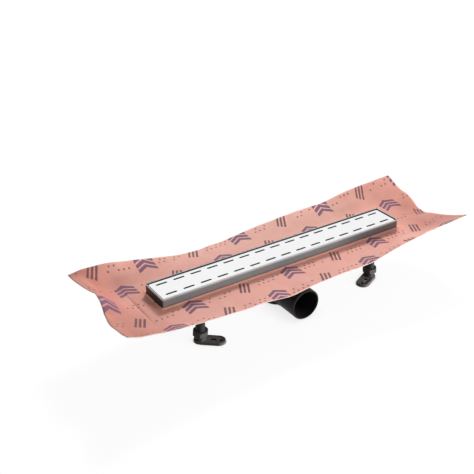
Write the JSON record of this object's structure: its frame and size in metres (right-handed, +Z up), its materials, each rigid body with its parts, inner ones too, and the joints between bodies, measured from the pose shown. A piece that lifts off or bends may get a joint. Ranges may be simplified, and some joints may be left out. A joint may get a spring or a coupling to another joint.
{
  "type": "linear shower drain",
  "caption": "Long slotted channel drain with a waved sealing sheet on its flange, a water-seal trap with a side outlet spigot, and levelling legs on swivelling pads.",
  "frame": {"origin": "on the floor under the middle of the drain", "axes": "+X along the channel, -Y the way the outlet spigot leaves, +Z up"},
  "size_m": [0.6262, 0.192, 0.105],
  "materials": {
    "channel_steel": "satin stainless sheet",
    "cover_steel": "finely brushed bright stainless",
    "membrane": "matt fleece-faced sheet with a printed pattern",
    "trap_plastic": "black moulding",
    "insert_plastic": "grey moulding",
    "leg_plastic": "dark moulding with a slight sheen",
    "fixing_steel": "zinc-plated steel",
    "gasket_rubber": "matt black rubber"
  },
  "bodies": {
    "drain": {"channel_body": "channel_steel", "cover_grate": "cover_steel", "sealing_membrane": "membrane", "trap_body": "trap_plastic", "lower_gasket": "gasket_rubber", "upper_gasket": "gasket_rubber", "waste_flange": "insert_plastic", "dip_tube_seal": "gasket_rubber", "dip_tube": "insert_plastic", "siphon_cup": "insert_plastic", "hair_strainer": "cover_steel", "leg_bush_front_left": "fixing_steel", "leg_bush_front_right": "fixing_steel", "leg_bush_rear_left": "fixing_steel", "leg_bush_rear_right": "fixing_steel", "lock_nut_front_left": "fixing_steel", "lock_nut_front_right": "fixing_steel", "lock_nut_rear_left": "fixing_steel", "lock_nut_rear_right": "fixing_steel"},
    "front_left_bolt": {"levelling_bolt_front_left": "leg_plastic"},
    "front_left_pad": {"foot_pad_front_left": "leg_plastic"},
    "front_right_bolt": {"levelling_bolt_front_right": "leg_plastic"},
    "front_right_pad": {"foot_pad_front_right": "leg_plastic"},
    "rear_left_bolt": {"levelling_bolt_rear_left": "leg_plastic"},
    "rear_left_pad": {"foot_pad_rear_left": "leg_plastic"},
    "rear_right_bolt": {"levelling_bolt_rear_right": "leg_plastic"},
    "rear_right_pad": {"foot_pad_rear_right": "leg_plastic"}
  },
  "joints": [
    {"name": "front_left_height", "type": "slide", "parent": "drain", "child": "front_left_bolt", "axis": [0, 0, -1], "range_m": [-0.006, 0.01]},
    {"name": "front_left_swivel", "type": "hinge", "parent": "front_left_bolt", "child": "front_left_pad", "pos_m": [-0.167, -0.032, 0.004], "axis": [0, 0, 1], "continuous": true},
    {"name": "front_right_height", "type": "slide", "parent": "drain", "child": "front_right_bolt", "axis": [0, 0, -1], "range_m": [-0.006, 0.01]},
    {"name": "front_right_swivel", "type": "hinge", "parent": "front_right_bolt", "child": "front_right_pad", "pos_m": [0.163, -0.032, 0.004], "axis": [0, 0, 1], "continuous": true},
    {"name": "rear_left_height", "type": "slide", "parent": "drain", "child": "rear_left_bolt", "axis": [0, 0, -1], "range_m": [-0.006, 0.01]},
    {"name": "rear_left_swivel", "type": "hinge", "parent": "rear_left_bolt", "child": "rear_left_pad", "pos_m": [-0.167, 0.032, 0.004], "axis": [0, 0, 1], "continuous": true},
    {"name": "rear_right_height", "type": "slide", "parent": "drain", "child": "rear_right_bolt", "axis": [0, 0, -1], "range_m": [-0.006, 0.01]},
    {"name": "rear_right_swivel", "type": "hinge", "parent": "rear_right_bolt", "child": "rear_right_pad", "pos_m": [0.163, 0.032, 0.004], "axis": [0, 0, 1], "continuous": true}
  ]
}
